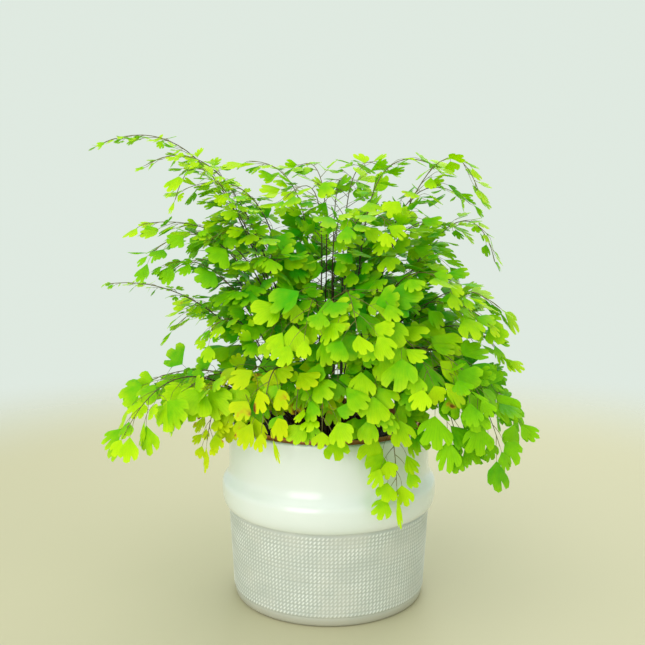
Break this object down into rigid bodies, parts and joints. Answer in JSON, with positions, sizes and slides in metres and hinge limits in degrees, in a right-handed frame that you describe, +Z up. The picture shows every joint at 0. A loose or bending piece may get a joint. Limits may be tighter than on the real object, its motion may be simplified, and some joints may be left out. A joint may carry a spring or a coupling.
{
  "type": "potted fern",
  "caption": "Maidenhair fern with arching black-stemmed fronds, growing in a plastic nursery pot inside a glazed ceramic cachepot with a rounded ring and a knit-patterned lower band.",
  "frame": {"origin": "centre of the cachepot's flat underside, where it stands", "axes": "+Z up along the pots' common axis, -Y towards the front, where the foliage opens over the rim, +X to the right seen from the front"},
  "size_m": [0.2854, 0.2298, 0.3033],
  "materials": {
    "glazed_stoneware": "gloss",
    "terracotta_plastic": "satin",
    "peat": "matte",
    "rhizome": "matte",
    "fresh_frond": "satin",
    "gold_frond": "satin",
    "deep_frond": "satin"
  },
  "bodies": {
    "root": {"cachepot": "glazed_stoneware", "nursery_pot": "terracotta_plastic", "potting_soil": "peat", "rhizome_crown": "rhizome", "frond_left_long": "fresh_frond", "frond_left_twin": "fresh_frond", "frond_left_tier": "fresh_frond", "frond_left_curl": "fresh_frond", "frond_left_upright": "fresh_frond", "frond_left_flat_high": "fresh_frond", "frond_left_flat_mid": "deep_frond", "frond_left_inner": "fresh_frond", "frond_left_thread": "fresh_frond", "frond_left_wire": "deep_frond", "frond_left_back_wire": "deep_frond", "frond_left_small": "fresh_frond", "frond_left_low_out": "fresh_frond", "frond_left_low_back": "deep_frond", "frond_left_low_front": "fresh_frond", "frond_left_twig": "gold_frond", "frond_front_left_outer": "gold_frond", "frond_front_left_inner": "gold_frond", "frond_front_left_up": "fresh_frond", "frond_front_drop_left": "fresh_frond", "frond_front_drop_right": "fresh_frond", "frond_front_arch": "fresh_frond", "frond_front_fan": "fresh_frond", "frond_front_cluster": "deep_frond", "frond_front_left_high": "fresh_frond", "frond_front_up": "fresh_frond", "frond_right_bright": "fresh_frond", "frond_right_hanging": "fresh_frond", "frond_right_front": "fresh_frond", "frond_right_low_inner": "deep_frond", "frond_right_low_outer": "deep_frond", "frond_right_dark_arch": "deep_frond", "frond_right_far": "deep_frond", "frond_right_shelf": "fresh_frond", "frond_right_ledge": "fresh_frond", "frond_right_front_high": "fresh_frond", "frond_right_mid_arch": "fresh_frond", "frond_right_shoulder": "fresh_frond", "frond_right_thread": "fresh_frond", "frond_right_high_tip": "fresh_frond", "frond_right_crest": "fresh_frond", "frond_right_tier": "fresh_frond", "frond_right_flat": "fresh_frond", "frond_right_inner": "fresh_frond", "frond_centre_high": "fresh_frond", "frond_centre_left": "fresh_frond", "frond_back_right_low": "deep_frond", "frond_back_right": "fresh_frond", "frond_back_low": "deep_frond", "frond_back_drop": "fresh_frond", "frond_back_high": "fresh_frond", "frond_back_upright": "fresh_frond", "frond_back_middle": "deep_frond", "frond_back_left": "fresh_frond", "frond_back_left_low": "deep_frond", "frond_back_left_wide": "fresh_frond"}
  },
  "joints": []
}
